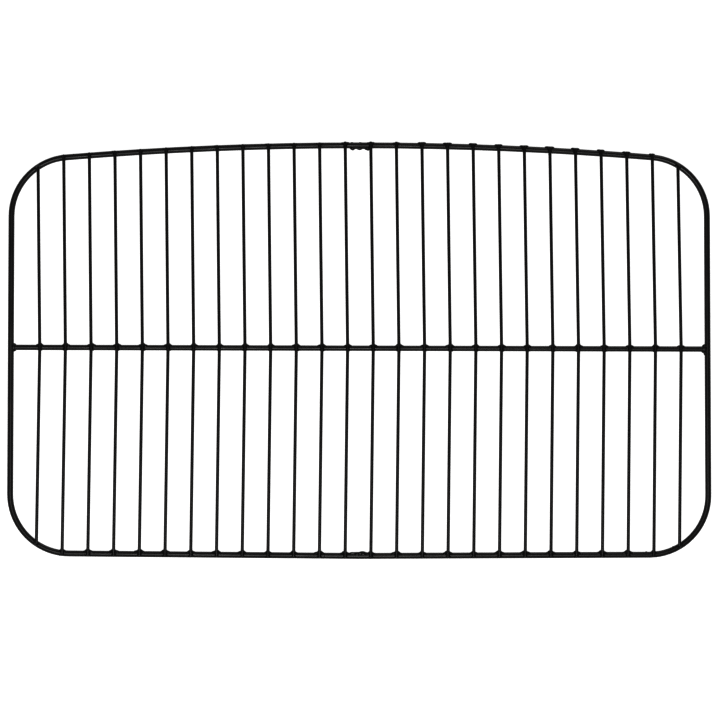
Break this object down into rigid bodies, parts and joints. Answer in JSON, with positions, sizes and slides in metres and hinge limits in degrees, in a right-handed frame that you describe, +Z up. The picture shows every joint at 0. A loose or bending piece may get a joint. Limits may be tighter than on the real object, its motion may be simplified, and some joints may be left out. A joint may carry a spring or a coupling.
{
  "type": "grill grate",
  "caption": "Flat welded wire cooking grid: a round-cornered frame with a bowed rear run, a cross bar and a row of thin cooking rods, to lie on a grill's ledge over the burners.",
  "frame": {"origin": "under the middle of the grate's box, on the surface that it lies on", "axes": "+X along the grate's length, +Y towards the bowed rear run, +Z up, towards the cooking rods"},
  "size_m": [0.5696, 0.3382, 0.0073],
  "materials": {
    "black_enamel": "gloss porcelain enamel"
  },
  "bodies": {
    "root": {"cross_bar": "black_enamel", "frame_left": "black_enamel", "frame_right": "black_enamel", "front_weld": "black_enamel", "rear_weld": "black_enamel", "rod_01": "black_enamel", "rod_02": "black_enamel", "rod_03": "black_enamel", "rod_04": "black_enamel", "rod_05": "black_enamel", "rod_06": "black_enamel", "rod_07": "black_enamel", "rod_08": "black_enamel", "rod_09": "black_enamel", "rod_10": "black_enamel", "rod_11": "black_enamel", "rod_12": "black_enamel", "rod_13": "black_enamel", "rod_14": "black_enamel", "rod_15": "black_enamel", "rod_16": "black_enamel", "rod_17": "black_enamel", "rod_18": "black_enamel", "rod_19": "black_enamel", "rod_20": "black_enamel", "rod_21": "black_enamel", "rod_22": "black_enamel", "rod_23": "black_enamel", "rod_24": "black_enamel", "rod_25": "black_enamel", "rod_26": "black_enamel"}
  },
  "joints": []
}
